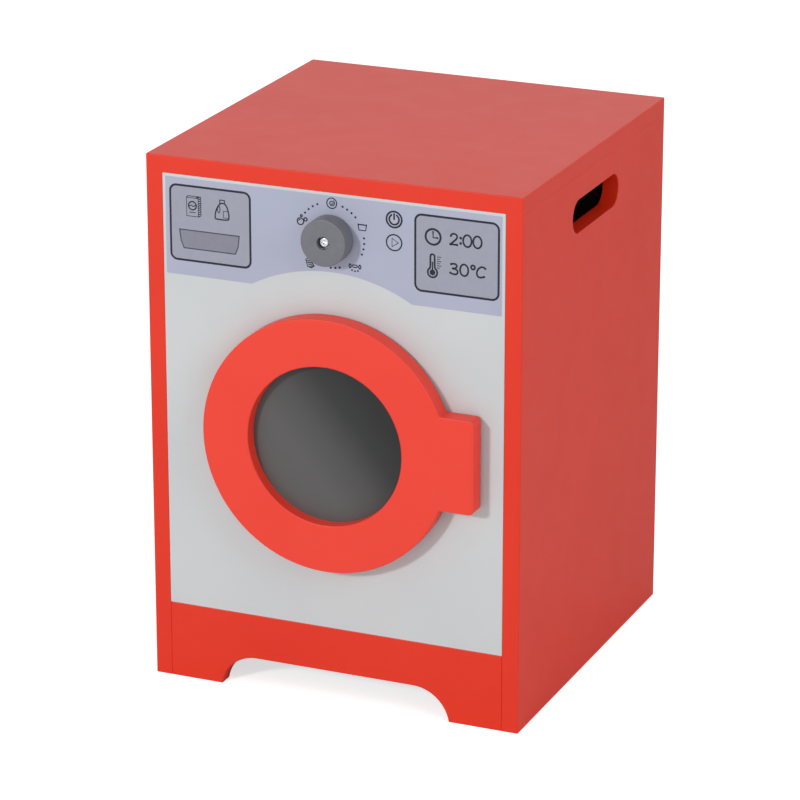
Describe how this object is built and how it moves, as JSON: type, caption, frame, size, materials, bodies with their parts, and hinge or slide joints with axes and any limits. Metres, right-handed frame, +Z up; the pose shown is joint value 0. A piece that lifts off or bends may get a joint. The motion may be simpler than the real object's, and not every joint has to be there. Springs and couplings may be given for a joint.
{
  "type": "toy washing machine",
  "caption": "Free-standing toy washing machine in painted board with a round window door on a side hinge, a magnetic catch, a turning knob and a hand slot in each side.",
  "frame": {"origin": "on the floor, in the middle of the width and of the whole depth with the door and knob counted in", "axes": "+Z up; +X to the right as seen from the front; +Y from the front to the back, so the door and knob face -Y"},
  "size_m": [0.36, 0.379, 0.5],
  "materials": {
    "red_paint": "satin painted board",
    "white_paint": "satin painted board",
    "dark_board": "matt dark lining",
    "back_board": "plain hardboard",
    "printed_film": "matt print",
    "beech": "plain",
    "zinc_fitting": "die-cast zinc",
    "steel_fitting": "zinc-plated",
    "tinted_acrylic": "polished smoke tint",
    "black_plastic": "moulded",
    "magnet": "nickel-plated",
    "grey_knob": "satin painted",
    "white_nylon": "natural"
  },
  "bodies": {
    "cabinet": {"top_panel": "red_paint", "left_side_panel": "red_paint", "right_side_panel": "red_paint", "front_panel": "white_paint", "plinth_rail": "red_paint", "floor_panel": "dark_board", "back_panel": "back_board", "control_film": "printed_film", "panel_dowels": "beech", "top_cam_bolts": "steel_fitting", "top_cam_locks": "zinc_fitting", "floor_cam_bolts": "steel_fitting", "floor_cam_locks": "zinc_fitting", "back_panel_screws": "steel_fitting", "hinge_frame_leaf": "steel_fitting", "hinge_pin": "steel_fitting", "hinge_frame_screws": "steel_fitting", "catch_housing": "black_plastic", "catch_magnet": "magnet", "catch_screws": "steel_fitting", "knob_screw": "steel_fitting", "knob_bush": "steel_fitting", "knob_head_washer": "steel_fitting", "knob_front_washer": "white_nylon", "knob_back_washer": "steel_fitting", "knob_lock_nut": "steel_fitting"},
    "door": {"door_ring": "red_paint", "door_window": "tinted_acrylic", "window_screws": "steel_fitting", "hinge_door_leaf": "steel_fitting", "hinge_door_screws": "steel_fitting", "strike_plate": "steel_fitting", "strike_screw": "steel_fitting"},
    "knob": {"dial_knob": "grey_knob"}
  },
  "joints": [
    {"name": "door_swing", "type": "hinge", "parent": "cabinet", "child": "door", "pos_m": [-0.1165, -0.174, 0.254], "axis": [0, 0, -1], "range_deg": [0, 90]},
    {"name": "knob_turn", "type": "hinge", "parent": "cabinet", "child": "knob", "pos_m": [0, -0.1805, 0.443], "axis": [0, -1, 0], "continuous": true}
  ]
}
